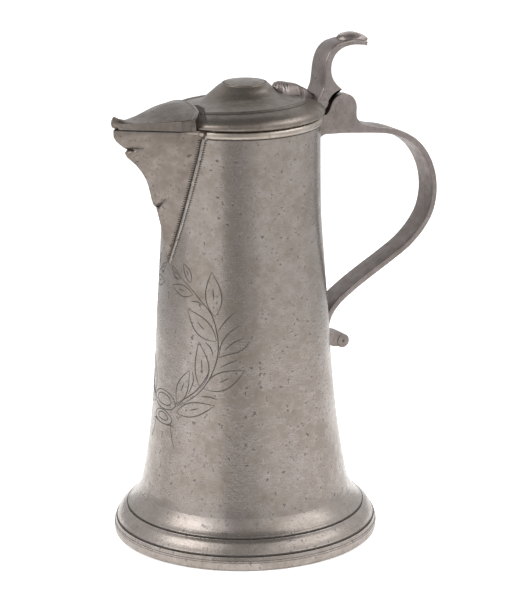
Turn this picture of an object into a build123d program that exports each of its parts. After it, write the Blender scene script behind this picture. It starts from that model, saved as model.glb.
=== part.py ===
from build123d import *
import os
from math import cos, radians, sin, sqrt

os.makedirs("parts", exist_ok=True)

# A lidded pewter flagon with a beak spout. The origin is on the body's axis at the foot's underside,
# +Z is up, the handle stands toward +X and the spout toward -X. Millimetres.

# Foot
foot_r = 71.0
foot_top_z = 24.0
foot_wall = 3.2
lip_wall = 4.5
lip_edge = 1.0
lip_top_z = 8.1
lip_slope = 0.8
step_top_z = 16.4
step_slope = 4.2
flare_sag = 0.45
groove_r = 0.6
recess_h = 6.2
plate_seat = 1.2
floor_t = 2.5

# Drum, from its seat on the foot to the rim
rim_z = 228.4
drum_wall = 2.0
drum_seat_r = 57.9
drum_flare_r = 54.6
drum_flare_z = 35.0
drum_low_r = 49.8
drum_low_z = 65.0
drum_mid_r = 45.8
drum_mid_z = 120.0
neck_r = 42.2
neck_h = 56.0
band_h = 4.3
band_t = 1.6

# Spout
spout_reach = 74.0
spout_half_w = 26.6
spout_h = 73.5
spout_wall = 2.0
seam_w = 2.2
seam_t = 0.8
crease_depth = 1.0

# Lid
lid_gap = 0.4
lid_r = 44.4
lid_wall = 2.0
lid_edge_h = 4.4
lid_shoulder_h = 7.6
lid_crown_h = 17.2
button_r = 12.6
button_t = 1.6
cover_overhang = 1.0
cover_wall = 1.8

# Lid strap
leaf_start = 19.0
leaf_len = 27.0
leaf_w = 12.8
leaf_rib_r = 0.55
leaf_root_h = 4.0

# Hinge
pin_x = 58.5
pin_drop = 2.2
pin_r = 1.5
pin_clear = 0.08
ear_r = 8.2
ear_gap = 2.0
hinge_w = 16.0
tongue_w = 6.4
tongue_clear = 0.2
plug_r = 5.2
plug_t = 0.9
block_h = 12.7
saddle_h = 10.8

# Thumbpiece
thumb_w = 15.4
thumb_tip_w = 14.0
thumb_h = 36.5
shell_x = 8.5
shell_seat_r = 16.2
shell_w = 14.5
shell_t = 2.7
shell_ribs = 5

# Handle
strap_w = 14.4
strap_t = 3.2
handle_reach = 118.0
handle_foot_z = 104.0
scroll_r = 3.8
scroll_w = 13.6

# Heights that follow from these
lid_z = rim_z + lid_gap
pin_z = rim_z - pin_drop
seam_tip_z = rim_z - spout_h
block_z = pin_z - block_h
floor_z = recess_h + plate_seat
far = 150.0

# Radii of the foot, each stepped in from the one below
lip_top_r = foot_r - lip_slope
step_top_r = lip_top_r - step_slope
recess_r = foot_r - lip_wall


def hinge_xz(dx, dz):
    """A point given from the hinge pin, in the upright plane through the handle."""
    return (pin_x + dx, pin_z + dz)


def drum_side(grow):
    """The drum's outer side from its seat to the rim, grown or shrunk in radius: the arc of the
    flare, the slight bow of the body and the upright neck."""
    low = (drum_low_r + grow, drum_low_z)
    waist = (neck_r + grow, rim_z - neck_h)
    ThreePointArc((drum_seat_r + grow, foot_top_z), (drum_flare_r + grow, drum_flare_z), low)
    ThreePointArc(low, (drum_mid_r + grow, drum_mid_z), waist)
    Line(waist, (neck_r + grow, rim_z))


with BuildLine(Plane.XZ) as drum_line:
    drum_side(0)
drum_curve = drum_line.wire()


def x_at(curve, z):
    """X of a rising curve at a height, found by halving."""
    low, high = 0.0, 1.0
    for _ in range(30):
        middle = (low + high) / 2
        if (curve @ middle).Z < z:
            low = middle
        else:
            high = middle
    return (curve @ low).X


def turned_drum(grow):
    """The drum's outer form as a full solid, grown or shrunk in radius."""
    with BuildPart() as turned:
        with BuildSketch(Plane.XZ):
            with BuildLine():
                drum_side(grow)
                Polyline(
                    (neck_r + grow, rim_z), (0, rim_z), (0, foot_top_z), (drum_seat_r + grow, foot_top_z)
                )
            make_face()
        revolve(axis=Axis.Z)
    return turned.part


# Keel of the spout, as shares of the spout's height and of its reach beyond the neck
keel_shape = [
    (0.00, -0.02),
    (0.18, 0.10),
    (0.40, 0.30),
    (0.62, 0.45),
    (0.75, 0.62),
    (0.82, 0.78),
    (0.88, 0.85),
    (0.94, 0.96),
    (1.00, 1.00),
]
with BuildLine(Plane.XZ) as keel_line:
    keel_curve = Spline(
        *[
            (neck_r + reach * (spout_reach - neck_r), seam_tip_z + share * spout_h)
            for share, reach in keel_shape
        ]
    )

# Spout: level sections, each from the keel over the cheek to the root on the drum
spout_sections = 15
solid_sections = 3
keel_thick = 1.55
keel_least = 0.4
cheek_out = 0.31
cheek_in = 0.82
root_bow = 0.39


def root_half_width(share):
    """Half the spout's width where it meets the drum, bowed a little outward."""
    return spout_half_w * (share + root_bow * share * (1 - share))


def spout_section(share, inset):
    """The keel, cheek, root and inner points of the level section at a share of the height."""
    z = seam_tip_z + share * spout_h
    half = max(root_half_width(share) - inset, 0.6)
    root_x = sqrt(x_at(drum_curve, z) ** 2 - half**2)
    keel_x = max(x_at(keel_curve, z) - keel_thick * inset, root_x + keel_least)
    cheek_x = root_x + cheek_out * (keel_x - root_x)
    inner_x = root_x - 6 * drum_wall
    return [(-keel_x, 0), (-cheek_x, cheek_in * half), (-root_x, half), (-inner_x, half)]


def spout_form(inset, first):
    """The spout's outer form, or its hollow when inset, lofted through its level sections."""
    with BuildPart() as form:
        for step in range(first, spout_sections + 1):
            share = step / spout_sections
            side = spout_section(share, inset)
            with BuildSketch(Plane.XY.offset(seam_tip_z + share * spout_h)):
                with BuildLine():
                    Polyline(*side, *[(x, -y) for x, y in side[:0:-1]], close=True)
                make_face()
        loft(ruled=True)
    return form.part


spout_outer = spout_form(0, 0)
spout_hollow = spout_form(spout_wall, solid_sections)
drum_solid = turned_drum(0)

# Drum, opened into the spout
with BuildPart() as drum:
    add(drum_solid)
    add(turned_drum(-drum_wall), mode=Mode.SUBTRACT)
    add(spout_hollow, mode=Mode.SUBTRACT)
drum.part.label = "drum"
export_step(drum.part, "parts/drum.step")

# Foot: the turned outside, less the hollow under and inside it
with BuildPart() as foot_cavity:
    with BuildSketch(Plane.XZ):
        with BuildLine():
            Polyline(
                (0, 0),
                (recess_r, 0),
                (recess_r, recess_h),
                (recess_r - plate_seat, floor_z),
                (recess_r - plate_seat, floor_z + floor_t),
                (step_top_r - groove_r - foot_wall, step_top_z),
                (drum_seat_r - drum_wall, foot_top_z),
                (0, foot_top_z),
                close=True,
            )
        make_face()
    revolve(axis=Axis.Z)

with BuildPart() as foot:
    with BuildSketch(Plane.XZ):
        with BuildLine():
            Polyline((0, foot_top_z), (0, 0), (foot_r - lip_edge, 0))
            ThreePointArc((foot_r - lip_edge, 0), (foot_r, lip_top_z * 0.4), (lip_top_r, lip_top_z))
            ThreePointArc(
                (lip_top_r, lip_top_z),
                ((lip_top_r + step_top_r) / 2 + 0.7, (lip_top_z + step_top_z) / 2 + 0.4),
                (step_top_r, step_top_z),
            )
            ThreePointArc(
                (step_top_r, step_top_z),
                (
                    (step_top_r + drum_seat_r) / 2 - flare_sag,
                    (step_top_z + foot_top_z) / 2 - flare_sag,
                ),
                (drum_seat_r, foot_top_z),
            )
            Line((drum_seat_r, foot_top_z), (0, foot_top_z))
        make_face()
    revolve(axis=Axis.Z)
    with BuildSketch(Plane.XZ):
        with Locations((lip_top_r, lip_top_z), (step_top_r, step_top_z)):
            RegularPolygon(groove_r, 4)
    revolve(axis=Axis.Z, mode=Mode.SUBTRACT)
    add(foot_cavity.part, mode=Mode.SUBTRACT)
foot.part.label = "foot"
export_step(foot.part, "parts/foot.step")

# Bottom plate, soldered in the foot
with BuildPart() as bottom_plate:
    with BuildSketch(Plane.XY.offset(floor_z)):
        Circle(foot_r)
    extrude(amount=floor_t)
    add(foot_cavity.part, mode=Mode.INTERSECT)
bottom_plate.part.label = "bottom_plate"
export_step(bottom_plate.part, "parts/bottom_plate.step")

# Creases that run into the spout from its keel, each as its share of the spout's height,
# half its mouth, its length and its rise
creases = [(0.865, 1.3, 9.0, 1.5), (0.415, 1.1, 7.0, 5.5)]
with BuildPart() as crease_cutter:
    with BuildSketch(Plane.XZ):
        for share, half_mouth, length, rise in creases:
            crease_z = seam_tip_z + share * spout_h
            mouth_x = -x_at(keel_curve, crease_z) - 1
            with BuildLine():
                Polyline(
                    (mouth_x, crease_z - half_mouth),
                    (mouth_x, crease_z + half_mouth),
                    (mouth_x + length, crease_z + rise),
                    close=True,
                )
            make_face()
    extrude(amount=far, both=True)
    add(spout_form(crease_depth, 0), mode=Mode.SUBTRACT)

# Spout: a thin wall, seated on the drum
with BuildPart() as spout:
    add(spout_outer)
    add(spout_hollow, mode=Mode.SUBTRACT)
    add(drum_solid, mode=Mode.SUBTRACT)
    add(crease_cutter.part, mode=Mode.SUBTRACT)
spout.part.label = "spout"
export_step(spout.part, "parts/spout.step")

# Rim band: a half-round moulding, broken by the spout
with BuildPart() as rim_band:
    with BuildSketch(Plane.XZ):
        with BuildLine():
            Polyline(
                (neck_r, rim_z),
                (neck_r - 1, rim_z),
                (neck_r - 1, rim_z - band_h),
                (neck_r, rim_z - band_h),
            )
            ThreePointArc(
                (neck_r, rim_z - band_h), (neck_r + band_t, rim_z - band_h / 2), (neck_r, rim_z)
            )
        make_face()
    revolve(axis=Axis.Z)
    add(drum_solid, mode=Mode.SUBTRACT)
    add(spout_outer, mode=Mode.SUBTRACT)
rim_band.part.label = "rim_band"
export_step(rim_band.part, "parts/rim_band.step")

# Spout seam: a raised V round the spout's root, cut from a skin on the drum
with BuildPart() as seam_prism:
    with BuildSketch(Plane.YZ):
        with BuildLine():
            seam_side = [
                (root_half_width(step / 6) + seam_w, seam_tip_z + step / 6 * spout_h)
                for step in range(7)
            ]
            seam_side.insert(0, (0, seam_tip_z - 2 * seam_w))
            Polyline(*seam_side, *[(-y, z) for y, z in seam_side[:0:-1]], close=True)
        make_face()
    extrude(amount=-far)

with BuildPart() as spout_seam:
    add(turned_drum(seam_t))
    add(drum_solid, mode=Mode.SUBTRACT)
    add(seam_prism.part, mode=Mode.INTERSECT)
    split(bisect_by=Plane.XY.offset(rim_z - band_h), keep=Keep.BOTTOM)
    add(spout_outer, mode=Mode.SUBTRACT)
spout_seam.part.label = "spout_seam"
export_step(spout_seam.part, "parts/spout_seam.step")

# Handle: the hinge block with its two ears, and the strap that runs down onto the drum
handle_foot_x = x_at(drum_curve, handle_foot_z) + strap_t / 2 - 0.7
handle_mid_x = handle_reach - strap_t / 2
strap_drop = block_z - handle_foot_z
strap_span = handle_mid_x - pin_x
with BuildLine(Plane.XZ) as strap_line:
    strap_curve = Spline(
        hinge_xz(18, -block_h - 0.4),
        (handle_mid_x - 0.36 * strap_span, block_z - 0.06 * strap_drop),
        (handle_mid_x - 0.155 * strap_span, block_z - 0.16 * strap_drop),
        (handle_mid_x, block_z - 0.35 * strap_drop),
        (handle_mid_x - 0.13 * strap_span, block_z - 0.535 * strap_drop),
        (handle_mid_x - 0.475 * strap_span, block_z - 0.675 * strap_drop),
        (handle_foot_x + 0.26 * strap_span, block_z - 0.80 * strap_drop),
        (handle_foot_x, handle_foot_z + 0.073 * strap_drop),
        (handle_foot_x, handle_foot_z),
        tangents=[(1, -0.1), (0, -1)],
    )


def ribbon(curve, thickness, steps):
    """The two sides of a strap of even thickness, as points along a curve in the handle's plane."""
    sides = [], []
    for step in range(steps + 1):
        place = curve @ (step / steps)
        run = curve % (step / steps)
        for side, points in zip((thickness / 2, -thickness / 2), sides):
            points.append((place.X - side * run.Z, place.Z + side * run.X))
    return sides


with BuildPart() as handle:
    with BuildSketch(Plane.XZ):
        with BuildLine():
            Polyline(
                hinge_xz(8.1, -3.5),
                hinge_xz(-ear_r + 0.4, 1.6),
                hinge_xz(-ear_r - 1.2, rim_z - band_h - pin_z),
                (neck_r - 1, rim_z - band_h),
                (neck_r - 1, block_z - 1.8),
                (neck_r + 3.8, block_z),
                hinge_xz(6, -block_h - 0.2),
                hinge_xz(22.5, -block_h - 2.6),
                hinge_xz(22.5, -block_h + 1.5),
            )
            Spline(hinge_xz(22.5, -block_h + 1.5), hinge_xz(12.3, -8.6), hinge_xz(8.1, -3.5))
        make_face()
        with Locations(hinge_xz(0, 0)):
            Circle(ear_r)
    extrude(amount=hinge_w / 2, both=True)
    with BuildSketch(Plane.XZ):
        with BuildLine():
            near_points, far_points = ribbon(strap_curve, strap_t, 14)
            Spline(*near_points)
            Spline(*far_points)
            Line(near_points[0], far_points[0])
            Line(near_points[-1], far_points[-1])
        make_face()
    extrude(amount=strap_w / 2, both=True)
    with BuildSketch(Plane.XZ):
        with Locations(hinge_xz(0, 0)):
            Circle(ear_r)
        with Locations((pin_x, rim_z - band_h)):
            Rectangle(2 * ear_r, 3 * ear_r, align=(Align.MAX, Align.MIN))
    extrude(amount=tongue_w / 2 + tongue_clear, both=True, mode=Mode.SUBTRACT)
    with BuildSketch(Plane.XZ):
        with Locations(hinge_xz(0, 0)):
            Circle(pin_r)
    extrude(amount=hinge_w, both=True, mode=Mode.SUBTRACT)
    for side in (1, -1):
        with BuildSketch(Plane.XZ.offset(side * hinge_w / 2)):
            with Locations(hinge_xz(0, 0)):
                Circle(plug_r)
        extrude(amount=-side * plug_t, mode=Mode.SUBTRACT)
    add(drum_solid, mode=Mode.SUBTRACT)
handle.part.label = "handle"
export_step(handle.part, "parts/handle.step")

# Handle scroll: the strap's end curls off the drum into a roll
with BuildLine(Plane.XZ) as scroll_line:
    scroll_curve = Spline(
        (handle_foot_x, handle_foot_z),
        (handle_foot_x + 0.6, handle_foot_z - 5.5),
        (handle_foot_x + 4.0, handle_foot_z - 9.6),
        (handle_foot_x + 9.6, handle_foot_z - 8.6),
        tangents=[(0, -1), (0.6, 0.8)],
    )

with BuildPart() as handle_scroll:
    with BuildSketch(Plane.XZ):
        with BuildLine():
            near_points, far_points = ribbon(scroll_curve, strap_t - 0.6, 8)
            Spline(*near_points)
            Spline(*far_points)
            Line(near_points[0], far_points[0])
            Line(near_points[-1], far_points[-1])
        make_face()
        with Locations((handle_foot_x + 9.8, handle_foot_z - 6.7)):
            Circle(scroll_r)
    extrude(amount=scroll_w / 2, both=True)
    add(drum_solid, mode=Mode.SUBTRACT)
handle_scroll.part.label = "handle_scroll"
export_step(handle_scroll.part, "parts/handle_scroll.step")

# Hinge pin and the plugs over its ends
with BuildPart() as hinge_pin:
    with BuildSketch(Plane.XZ):
        with Locations(hinge_xz(0, 0)):
            Circle(pin_r)
    extrude(amount=hinge_w / 2 - plug_t, both=True)
hinge_pin.part.label = "hinge_pin"
export_step(hinge_pin.part, "parts/hinge_pin.step")

for name, side in (("pin_plug_near", 1), ("pin_plug_far", -1)):
    with BuildPart() as pin_plug:
        with BuildSketch(Plane.XZ.offset(side * (hinge_w / 2 - plug_t))):
            with Locations(hinge_xz(0, 0)):
                Circle(plug_r)
        extrude(amount=side * (plug_t + 0.15))
    pin_plug.part.label = name
    export_step(pin_plug.part, f"parts/{name}.step")

# Lid: an ogee that falls from the button's seat in a straight slope and a hollow arc to a ridge
ridge_r = lid_r - 11.6
ridge_z = lid_z + lid_shoulder_h + 0.6
waist_r, waist_z = 0.554 * lid_r, lid_z + 0.576 * lid_crown_h
crest_r, crest_z = 0.383 * lid_r, lid_z + 0.79 * lid_crown_h
with BuildPart() as lid_solid:
    with BuildSketch(Plane.XZ):
        with BuildLine():
            Polyline(
                (button_r, lid_z + lid_crown_h),
                (0, lid_z + lid_crown_h),
                (0, lid_z),
                (lid_r - 0.8, lid_z),
                (lid_r, lid_z + 0.8),
            )
            ThreePointArc(
                (lid_r, lid_z + 0.8),
                (lid_r + 0.2, lid_z + lid_edge_h * 0.6),
                (lid_r - 1, lid_z + lid_edge_h),
            )
            ThreePointArc(
                (lid_r - 1, lid_z + lid_edge_h),
                (lid_r - 4.6, lid_z + (lid_edge_h + lid_shoulder_h) / 2 - 0.1),
                (lid_r - 9, lid_z + lid_shoulder_h),
            )
            Polyline(
                (lid_r - 9, lid_z + lid_shoulder_h),
                (lid_r - 9.6, ridge_z),
                (lid_r - 11, ridge_z + 0.3),
                (ridge_r, ridge_z),
            )
            ThreePointArc((ridge_r, ridge_z), (waist_r, waist_z), (crest_r, crest_z))
            Line((crest_r, crest_z), (button_r, lid_z + lid_crown_h))
        make_face()
    revolve(axis=Axis.Z)

with BuildPart() as lid_dome:
    add(lid_solid.part)
    with BuildSketch(Plane.XZ):
        with BuildLine():
            inner_r = lid_r - lid_wall - 0.8
            crown_r = button_r - 0.6 * lid_wall
            Polyline(
                (crown_r, lid_z + lid_crown_h - lid_wall),
                (0, lid_z + lid_crown_h - lid_wall),
                (0, lid_z),
                (inner_r, lid_z),
                (inner_r, lid_z + 2.6),
                (lid_r - 10, lid_z + lid_shoulder_h - lid_wall),
                (waist_r, waist_z - lid_wall),
                (crest_r - 0.3 * lid_wall, crest_z - lid_wall),
                close=True,
            )
        make_face()
    revolve(axis=Axis.Z, mode=Mode.SUBTRACT)
lid_dome.part.label = "lid_dome"
export_step(lid_dome.part, "parts/lid_dome.step")

# Lid button: a slightly crowned disc on the dome
button_z = lid_z + lid_crown_h
with BuildPart() as lid_button:
    with BuildSketch(Plane.XZ):
        with BuildLine():
            edge = (button_r, button_z + 0.3)
            Polyline((0, button_z + button_t), (0, button_z), (button_r, button_z), edge)
            TangentArc((0, button_z + button_t), edge, tangent=(1, 0))
        make_face()
    revolve(axis=Axis.Z)
lid_button.part.label = "lid_button"
export_step(lid_button.part, "parts/lid_button.step")

# Spout cover: upright roof-shaped sections from the beak's tip back onto the dome.
# Each station is a share of the way from the tip to the neck, a wall height and a ridge height.
cover_shape = [
    (-0.03, 4.6, 6.2),
    (0.10, 4.4, 6.1),
    (0.30, 4.0, 5.1),
    (0.62, 4.4, 8.4),
    (0.82, 4.9, 10.4),
    (1.00, 5.3, 11.8),
    (1.20, 5.6, 12.0),
    (1.42, 5.7, 11.4),
]


def cover_x(share):
    """Where a station stands, from the beak's tip toward the neck."""
    return -spout_reach + share * (spout_reach - neck_r)


def cover_half_width(share):
    """Half the cover's width: straight from the tip to the cheek, then on to the root."""
    keel, cheek, root, _ = spout_section(1.0, 0)
    x = cover_x(share)
    if x < cheek[0]:
        half = cheek[1] * (x - keel[0]) / (cheek[0] - keel[0])
    else:
        half = cheek[1] + (root[1] - cheek[1]) * (x - cheek[0]) / (root[0] - cheek[0])
    return max(half, 0) + cover_overhang


def cover_form(stations, wall):
    """The cover's outer form, or its hollow when a wall is taken off, lofted along the beak."""
    with BuildPart() as form:
        for share, side_h, ridge_h in stations:
            half = cover_half_width(share) - wall
            eaves_z = lid_z + side_h - wall
            ridge_z = lid_z + ridge_h - wall
            bulge_z = eaves_z + 0.68 * (ridge_z - eaves_z)
            with BuildSketch(Plane.YZ.offset(cover_x(share))):
                with BuildLine():
                    Polyline((-half, eaves_z), (-half, lid_z), (half, lid_z), (half, eaves_z))
                    ThreePointArc((half, eaves_z), (0.58 * half, bulge_z), (0, ridge_z))
                    ThreePointArc((0, ridge_z), (-0.58 * half, bulge_z), (-half, eaves_z))
                make_face()
        loft()
    return form.part


# The cover's back edge in plan, swung back on both sides, as shares of the lid's radius
cover_back = [(0.867, 0.766), (0.777, 0.428), (0.689, 0.203), (0.676, 0.0)]
with BuildPart() as cover_plan:
    with BuildSketch(Plane.XY.offset(lid_z)):
        with BuildLine():
            swing = [(-lid_r * along, lid_r * aside) for along, aside in cover_back]
            back = Spline(*swing, *[(x, -y) for x, y in swing[-2::-1]])
            Polyline(back @ 1, (-far, -swing[0][1]), (-far, swing[0][1]), back @ 0)
        make_face()
    extrude(amount=far)

with BuildPart() as spout_cover:
    add(cover_form(cover_shape, 0))
    add(cover_plan.part, mode=Mode.INTERSECT)
    add(cover_form(cover_shape[1:5], cover_wall), mode=Mode.SUBTRACT)
    add(lid_solid.part, mode=Mode.SUBTRACT)
spout_cover.part.label = "spout_cover"
export_step(spout_cover.part, "parts/spout_cover.step")

# Lid bracket: a saddle behind the dome, hollowed round the ears, with the middle knuckle
saddle_foot_z = rim_z - band_h + 0.7
saddle_in_x = neck_r + band_t + lid_gap
with BuildPart() as lid_bracket:
    with BuildSketch(Plane.XZ) as saddle_outline:
        with BuildLine():
            Polyline(
                (saddle_in_x, saddle_foot_z),
                (pin_x, saddle_foot_z),
                hinge_xz(0, saddle_h),
                hinge_xz(-12.4, saddle_h),
                (lid_r - 1.4, lid_z + lid_edge_h + 2.2),
                (lid_r - 3.4, lid_z + lid_edge_h),
                (lid_r - 3.4, lid_z + 1.2),
                (saddle_in_x, lid_z),
                close=True,
            )
        make_face()
    extrude(amount=hinge_w / 2, both=True)
    with BuildSketch(Plane.XZ):
        with Locations(hinge_xz(0, 0)):
            Circle(ear_r + ear_gap)
    extrude(amount=hinge_w, both=True, mode=Mode.SUBTRACT)
    with BuildSketch(Plane.XZ):
        add(saddle_outline.sketch)
        with Locations(hinge_xz(0, 0)):
            Circle(ear_r - 0.4)
    extrude(amount=tongue_w / 2, both=True)
    with BuildSketch(Plane.XZ):
        with Locations(hinge_xz(0, 0)):
            Circle(pin_r + pin_clear)
    extrude(amount=hinge_w, both=True, mode=Mode.SUBTRACT)
    add(lid_solid.part, mode=Mode.SUBTRACT)
lid_bracket.part.label = "lid_bracket"
export_step(lid_bracket.part, "parts/lid_bracket.step")

# Thumbpiece: an S-shaped lever that rises from the saddle and curls back over the hinge
shell_centre = hinge_xz(shell_x, thumb_h - shell_seat_r)


def lever_xz(dx, share):
    """A point of the lever: offset from the pin, and share of the rise from saddle to shell."""
    return hinge_xz(dx, saddle_h + share * (thumb_h - saddle_h))


def shell_seat(angle):
    """A point of the arc that the shell is seated on."""
    return (
        shell_centre[0] + shell_seat_r * cos(radians(angle)),
        shell_centre[1] + shell_seat_r * sin(radians(angle)),
    )


with BuildPart() as thumbpiece:
    with BuildSketch(Plane.XZ):
        with BuildLine():
            Spline(
                lever_xz(-12.4, 0),
                lever_xz(-10.5, 0.26),
                lever_xz(-9.9, 0.50),
                lever_xz(-8.3, 0.73),
                lever_xz(-4.6, 0.88),
                shell_seat(115),
            )
            ThreePointArc(shell_seat(115), shell_seat(90), shell_seat(54))
            Spline(
                shell_seat(54),
                lever_xz(17.0, 0.80),
                lever_xz(11.5, 0.87),
                lever_xz(5.4, 0.885),
                lever_xz(-1.5, 0.82),
                lever_xz(-5.9, 0.65),
                lever_xz(-7.0, 0.46),
                lever_xz(-5.3, 0.18),
                lever_xz(-2.5, 0),
            )
            Line(lever_xz(-2.5, 0), lever_xz(-12.4, 0))
        make_face()
    extrude(amount=thumb_w / 2, both=True)
    with BuildSketch(Plane.YZ):
        with BuildLine():
            low_z = pin_z + saddle_h
            high_z = pin_z + thumb_h
            Polyline(
                (-thumb_w / 2, low_z),
                (thumb_w / 2, low_z),
                (thumb_tip_w / 2, high_z),
                (-thumb_tip_w / 2, high_z),
                close=True,
            )
        make_face()
    extrude(amount=far, mode=Mode.INTERSECT)
thumbpiece.part.label = "thumbpiece"
export_step(thumbpiece.part, "parts/thumbpiece.step")

# Thumb shell: a ribbed shell bent over the lever's tip, its ribs swung round the seat's own centre
shell_from, shell_to = 118, 50
start = radians(shell_from)
shell_plane = Plane(
    origin=(shell_centre[0], 0, shell_centre[1]), x_dir=(0, 1, 0), z_dir=(sin(start), 0, -cos(start))
)
with BuildPart() as thumb_shell:
    with BuildSketch(shell_plane):
        with BuildLine():
            rib_w = shell_w / shell_ribs
            valley = shell_seat_r + shell_t * 0.62
            crest = shell_seat_r + shell_t
            for rib in range(shell_ribs):
                rib_y = -shell_w / 2 + rib * rib_w
                ThreePointArc((rib_y, valley), (rib_y + rib_w / 2, crest), (rib_y + rib_w, valley))
            Polyline(
                (shell_w / 2, valley),
                (shell_w / 2, shell_seat_r),
                (-shell_w / 2, shell_seat_r),
                (-shell_w / 2, valley),
            )
        make_face()
    shell_axis = Axis((shell_centre[0], 0, shell_centre[1]), (0, 1, 0))
    revolve(axis=shell_axis, revolution_arc=shell_from - shell_to)
    with BuildSketch(Plane.XY.offset(pin_z)):
        with BuildLine():
            tip_x = shell_centre[0] + shell_seat_r * cos(radians(shell_to)) + 0.6
            root_x = shell_centre[0] + shell_seat_r * cos(start) - 0.6
            shell_len = tip_x - root_x
            Spline(
                (root_x, 0),
                (root_x + 0.29 * shell_len, shell_w * 0.40),
                (root_x + 0.62 * shell_len, shell_w * 0.50),
                (root_x + 0.92 * shell_len, shell_w * 0.34),
                (tip_x, 0),
            )
            mirror(about=Plane.XZ)
        make_face()
    extrude(amount=far, mode=Mode.INTERSECT)
    add(thumbpiece.part, mode=Mode.SUBTRACT)
thumb_shell.part.label = "thumb_shell"
export_step(thumb_shell.part, "parts/thumb_shell.step")

# Lid strap: a leaf with a ribbed end that ties the bracket to the dome
# Its top and its half width are given at shares of its length, its ribs at shares too
leaf_top = [
    (0.02, 12.8),
    (0.10, 14.8),
    (0.22, 14.5),
    (0.39, 13.7),
    (0.53, 12.6),
    (0.65, 11.0),
    (0.78, 8.8),
    (1.00, 7.4),
]
leaf_side = [(0.0, 0.0), (0.074, 0.40), (0.222, 0.50), (0.444, 0.38), (0.704, 0.28), (1.0, 0.34)]
leaf_ribs = [(0.09, 14.8), (0.155, 15.0), (0.22, 14.9), (0.29, 14.5)]
leaf_end = leaf_start + leaf_len
with BuildPart() as lid_strap:
    with BuildSketch(Plane.XZ):
        with BuildLine():
            crown = Spline(
                *[(leaf_start + along * leaf_len, lid_z + height) for along, height in leaf_top]
            )
            Polyline(
                crown @ 1,
                (leaf_end, lid_z + leaf_root_h),
                ((crown @ 0).X, lid_z + leaf_root_h),
                crown @ 0,
            )
        make_face()
    extrude(amount=leaf_w, both=True)
    with BuildSketch(Plane.XY.offset(lid_z)):
        with BuildLine():
            side = Spline(
                *[(leaf_start + along * leaf_len, aside * leaf_w) for along, aside in leaf_side]
            )
            Line(side @ 1, (leaf_end, 0))
            mirror(about=Plane.XZ)
        make_face()
    extrude(amount=far, mode=Mode.INTERSECT)
    with BuildSketch(Plane.XZ):
        for along, height in leaf_ribs:
            with Locations((leaf_start + along * leaf_len, lid_z + height)):
                Circle(leaf_rib_r)
    extrude(amount=leaf_w, both=True, mode=Mode.SUBTRACT)
    add(lid_solid.part, mode=Mode.SUBTRACT)
    add(lid_bracket.part, mode=Mode.SUBTRACT)
lid_strap.part.label = "lid_strap"
export_step(lid_strap.part, "parts/lid_strap.step")
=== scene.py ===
import math

import bmesh
import bpy
import numpy as np
from mathutils import Matrix, Vector


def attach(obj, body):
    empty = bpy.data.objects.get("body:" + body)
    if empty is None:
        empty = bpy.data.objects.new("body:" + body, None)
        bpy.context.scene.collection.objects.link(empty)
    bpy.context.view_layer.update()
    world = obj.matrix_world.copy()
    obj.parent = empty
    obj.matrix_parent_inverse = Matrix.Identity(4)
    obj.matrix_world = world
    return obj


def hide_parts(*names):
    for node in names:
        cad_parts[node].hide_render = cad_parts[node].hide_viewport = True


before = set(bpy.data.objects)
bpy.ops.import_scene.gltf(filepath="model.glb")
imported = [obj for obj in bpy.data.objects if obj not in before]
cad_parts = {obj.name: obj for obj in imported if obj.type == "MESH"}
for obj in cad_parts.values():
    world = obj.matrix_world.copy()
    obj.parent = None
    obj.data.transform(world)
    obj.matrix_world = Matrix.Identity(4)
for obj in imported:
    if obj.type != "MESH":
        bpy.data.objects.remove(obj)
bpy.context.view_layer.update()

# A lidded pewter flagon. Lengths in this script are millimetres, turned to metres when a mesh is
# made. The origin is on the body's axis at the table, +X points to the handle, -X to the spout.
MM = 0.001

# Foot, drum and rim band. DRUM is the drum's outside, as radius and height
FOOT_TOP = 24.0
RIM = 228.4
WALL = 2.0
NECK_R = 42.2
DRUM = [
    (57.0, 24.0), (56.0, 26.6), (55.2, 30.0), (54.2, 35.0), (52.0, 48.0), (49.8, 65.0),
    (47.5, 91.0), (45.8, 120.0), (43.8, 150.0), (42.3, 176.0), (42.1, 200.0), (42.2, 228.4),
]
RECESS_R = 66.5
BAND_DEPTH = 1.8
BAND_HALF = 2.15
BAND_GAP = 1.2
# How far under the rim the painted shadow line lies
BAND_SHADOW_DROP = 4.5

# Spout. KEEL is its front edge in three tiers, as height and reach from the axis, and BELLY the
# same edge without its tiers, which the sides follow
SPOUT_H = 73.5
SPOUT_FOOT = RIM - SPOUT_H
ROOT_HALF = 24.3
KEEL = [
    (154.9, 42.9), (161.4, 45.3), (168.1, 46.9), (173.7, 47.8), (178.1, 48.9), (182.6, 49.9),
    (184.6, 50.6), (186.2, 52.2), (189.0, 53.3), (192.6, 54.0), (196.6, 54.9), (200.5, 56.3),
    (204.6, 58.4), (208.6, 61.2), (211.6, 64.3), (213.8, 66.5), (216.0, 67.3), (217.6, 67.0),
    (218.6, 67.7), (220.4, 69.9), (222.6, 72.3), (225.0, 73.7), (228.4, 74.0),
]
BELLY = [
    (154.9, 42.9), (168.1, 46.6), (182.6, 50.4), (192.6, 53.6), (200.5, 56.5), (208.6, 61.3),
    (213.8, 65.2), (218.6, 68.7), (222.6, 71.6), (228.4, 74.0),
]
KEEL_MAX = 74.95
# Share of a section, from the keel, where the sides turn in at the cheek
CHEEK_AT = 0.72
# Creases in the spout: height at the keel, rise, half width, depth and share of the section
CREASES = [
    (217.3, 2.0, 0.8, 1.7, 0.30), (184.0, 6.6, 0.8, 1.7, 0.38), (208.6, 3.0, 0.5, 0.6, 0.12),
]
# The spout's grid: how far over its foot it starts, its rows, and its columns, odd for the keel
BEAK_LIFT = 0.2
BEAK_ROWS = 90
BEAK_COLUMNS = 121

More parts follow.
